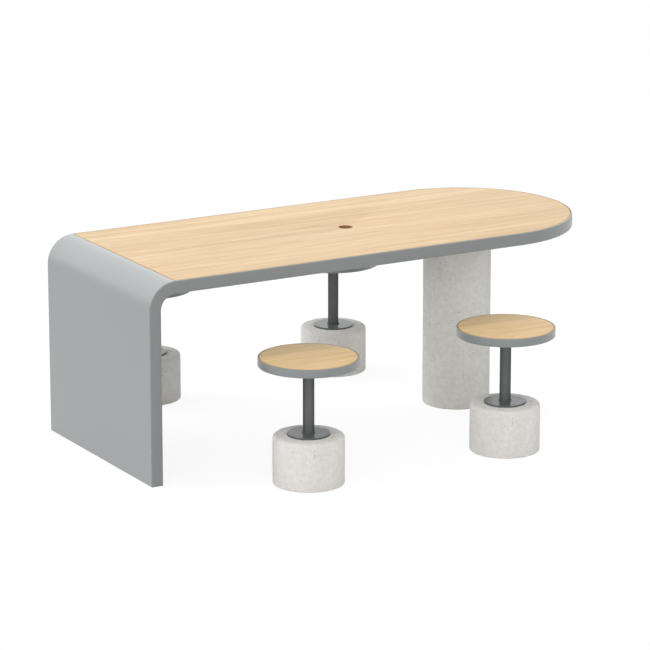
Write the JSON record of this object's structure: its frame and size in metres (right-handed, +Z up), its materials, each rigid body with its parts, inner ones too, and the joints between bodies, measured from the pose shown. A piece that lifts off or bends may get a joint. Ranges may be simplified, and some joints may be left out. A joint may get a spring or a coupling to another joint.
{
  "type": "table with stools",
  "caption": "Waterfall dining table, a bent steel slab with a flush wooden board, one end on a concrete column, with round wooden stools on posts and concrete plinths.",
  "frame": {"origin": "on the floor, at the centre of the box round the table and its stools", "axes": "+X from the leg towards the round end, +Y towards the rear stools, +Z up"},
  "size_m": [1.8999, 1.57, 0.72],
  "materials": {
    "satin_paint": "satin light grey powder coat",
    "dark_steel": "semi-gloss graphite coat",
    "top_wood": "pale straight-grained boards, matt oil",
    "seat_wood": "straight-grained wood, matt oil",
    "concrete": "light grey cast concrete with fine pits",
    "zinc_steel": "zinc plated steel"
  },
  "bodies": {
    "table": {"waterfall_skin": "satin_paint", "leg_liner": "satin_paint", "soffit_sheet": "satin_paint", "front_side_plate": "satin_paint", "rear_side_plate": "satin_paint", "round_end_band": "satin_paint", "inlay_stop_bar": "satin_paint", "leg_foot_plate": "satin_paint", "front_leg_upright": "zinc_steel", "rear_leg_upright": "zinc_steel", "front_bend_gusset": "zinc_steel", "rear_bend_gusset": "zinc_steel", "front_rail": "zinc_steel", "rear_rail": "zinc_steel", "parasol_rib_near_leg": "zinc_steel", "parasol_rib_near_column": "zinc_steel", "column_rib_inner": "zinc_steel", "column_rib_outer": "zinc_steel", "tray_sheet": "zinc_steel", "column_mount_plate": "zinc_steel", "parasol_sleeve": "satin_paint", "top_board": "top_wood", "board_screws": "zinc_steel", "concrete_column": "concrete", "column_anchor_plate": "zinc_steel", "column_studs": "zinc_steel", "column_nuts": "zinc_steel"},
    "front_left_stool": {"front_left_stool_plinth": "concrete", "front_left_stool_anchors": "zinc_steel", "front_left_stool_flange": "dark_steel", "front_left_stool_flange_screws": "dark_steel", "front_left_stool_post": "dark_steel", "front_left_stool_seat_pan": "satin_paint", "front_left_stool_seat_board": "seat_wood", "front_left_stool_seat_screws": "zinc_steel"},
    "front_right_stool": {"front_right_stool_plinth": "concrete", "front_right_stool_anchors": "zinc_steel", "front_right_stool_flange": "dark_steel", "front_right_stool_flange_screws": "dark_steel", "front_right_stool_post": "dark_steel", "front_right_stool_seat_pan": "satin_paint", "front_right_stool_seat_board": "seat_wood", "front_right_stool_seat_screws": "zinc_steel"},
    "rear_right_stool": {"rear_right_stool_plinth": "concrete", "rear_right_stool_anchors": "zinc_steel", "rear_right_stool_flange": "dark_steel", "rear_right_stool_flange_screws": "dark_steel", "rear_right_stool_post": "dark_steel", "rear_right_stool_seat_pan": "satin_paint", "rear_right_stool_seat_board": "seat_wood", "rear_right_stool_seat_screws": "zinc_steel"},
    "rear_left_stool": {"rear_left_stool_plinth": "concrete", "rear_left_stool_anchors": "zinc_steel", "rear_left_stool_flange": "dark_steel", "rear_left_stool_flange_screws": "dark_steel", "rear_left_stool_post": "dark_steel", "rear_left_stool_seat_pan": "satin_paint", "rear_left_stool_seat_board": "seat_wood", "rear_left_stool_seat_screws": "zinc_steel"}
  },
  "joints": [
    {"name": "front_left_stool_slide", "type": "slide", "parent": "table", "child": "front_left_stool", "axis": [0, 1, 0], "range_m": [-0.3, 0.25]},
    {"name": "front_right_stool_slide", "type": "slide", "parent": "table", "child": "front_right_stool", "axis": [0, 1, 0], "range_m": [-0.3, 0.25]},
    {"name": "rear_right_stool_slide", "type": "slide", "parent": "table", "child": "rear_right_stool", "axis": [0, -1, 0], "range_m": [-0.3, 0.25]},
    {"name": "rear_left_stool_slide", "type": "slide", "parent": "table", "child": "rear_left_stool", "axis": [0, -1, 0], "range_m": [-0.3, 0.25]}
  ]
}
